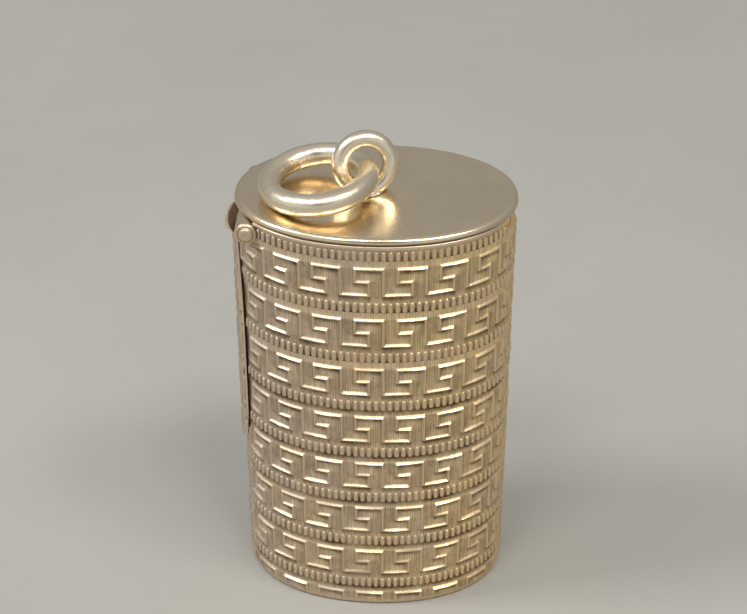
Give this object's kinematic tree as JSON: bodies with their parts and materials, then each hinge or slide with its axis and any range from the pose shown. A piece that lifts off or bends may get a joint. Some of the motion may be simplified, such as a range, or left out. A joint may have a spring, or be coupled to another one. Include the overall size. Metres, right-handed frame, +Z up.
{
  "type": "needle case",
  "caption": "Oval metal needle case with bands of key pattern, a hinged flat lid with a loop and bow ring, and a hinged side flap.",
  "frame": {"origin": "middle of the base, on the surface that the case stands on", "axes": "+Z up, +X along the long side of the oval away from the hinge, front at -Y"},
  "size_m": [0.0254, 0.017, 0.0452],
  "materials": {
    "silver_patterned": "engine-turned silver with raised key pattern, toned in the ground",
    "silver_plain": "worn polished silver with fine scratches",
    "silver_gilt": "gilt silver, smooth",
    "needle_steel": "polished nickel-plated steel",
    "wool_felt": "dark red wool felt"
  },
  "bodies": {
    "case": {"body_shell": "silver_patterned", "base_plate": "silver_plain", "inner_liner": "silver_gilt", "mouth_rim_front": "silver_plain", "mouth_rim_back": "silver_plain", "body_knuckle_front": "silver_plain", "body_knuckle_back": "silver_plain", "hinge_pin": "silver_plain", "felt_pad": "wool_felt", "needle_1": "needle_steel", "needle_2": "needle_steel", "needle_3": "needle_steel", "needle_4": "needle_steel", "needle_5": "needle_steel", "needle_6": "needle_steel", "needle_7": "needle_steel"},
    "lid": {"lid_plate": "silver_plain", "lid_flange": "silver_gilt", "lid_knuckle": "silver_plain", "loop_foot": "silver_plain", "hanging_loop": "silver_plain"},
    "ring": {"bow_ring": "silver_plain"},
    "flap": {"side_flap": "silver_patterned", "flap_arm_front": "silver_plain", "flap_arm_back": "silver_plain"}
  },
  "joints": [
    {"name": "lid_hinge", "type": "hinge", "parent": "case", "child": "lid", "pos_m": [-0.01075, 0, 0.03833], "axis": [0, -1, 0], "range_deg": [0, 95]},
    {"name": "flap_hinge", "type": "hinge", "parent": "case", "child": "flap", "pos_m": [-0.01075, 0, 0.03833], "axis": [0, 1, 0], "range_deg": [0, 30]},
    {"name": "ring_swing", "type": "hinge", "parent": "lid", "child": "ring", "pos_m": [-0.00093, 0.00031, 0.042], "axis": [-0.342, 0.9397, 0], "range_deg": [0, 164]}
  ]
}
